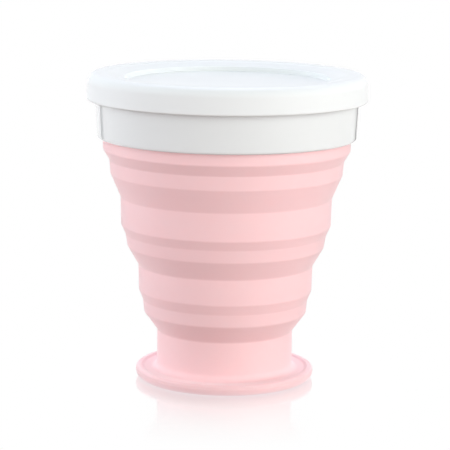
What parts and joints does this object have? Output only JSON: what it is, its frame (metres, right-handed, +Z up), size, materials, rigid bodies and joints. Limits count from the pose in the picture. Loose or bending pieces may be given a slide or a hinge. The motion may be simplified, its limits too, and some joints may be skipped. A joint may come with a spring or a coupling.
{
  "type": "collapsible travel cup",
  "caption": "Silicone bellows cup on a round foot disc, with a rigid collar round its mouth and a press-on recessed lid; it folds flat ring inside ring.",
  "frame": {"origin": "middle of the foot disc's underside, on the surface the cup stands on", "axes": "+Z up the cup's axis from the foot to the lid; the cup is round, so X and Y are free"},
  "size_m": [0.0892, 0.0892, 0.0983],
  "materials": {
    "pink_silicone": "satin, faintly powdery food-grade silicone",
    "white_polypropylene": "satin-gloss injection moulded",
    "clear_silicone": "satin milky silicone"
  },
  "bodies": {
    "foot": {"foot_disc": "pink_silicone", "neck_wall": "pink_silicone", "lower_fold_web": "pink_silicone"},
    "lower_stage": {"lower_ring": "pink_silicone", "middle_fold_web": "pink_silicone"},
    "upper_stage": {"upper_ring": "pink_silicone", "upper_fold_web": "pink_silicone"},
    "rim": {"rim_sleeve": "pink_silicone", "collar": "white_polypropylene", "retaining_ring": "white_polypropylene"},
    "lid": {"lid": "white_polypropylene", "lid_gasket": "clear_silicone"}
  },
  "joints": [
    {"name": "lower_fold", "type": "slide", "parent": "foot", "child": "lower_stage", "axis": [0, 0, -1], "range_m": [0, 0.0196], "deforming": ["lower_fold_web"]},
    {"name": "middle_fold", "type": "slide", "parent": "lower_stage", "child": "upper_stage", "axis": [0, 0, -1], "range_m": [0, 0.02], "deforming": ["middle_fold_web"]},
    {"name": "upper_fold", "type": "slide", "parent": "upper_stage", "child": "rim", "axis": [0, 0, -1], "range_m": [0, 0.0238], "deforming": ["upper_fold_web"]},
    {"name": "lid_lift", "type": "slide", "parent": "rim", "child": "lid", "axis": [0, 0, 1], "range_m": [0, 0.06]}
  ]
}
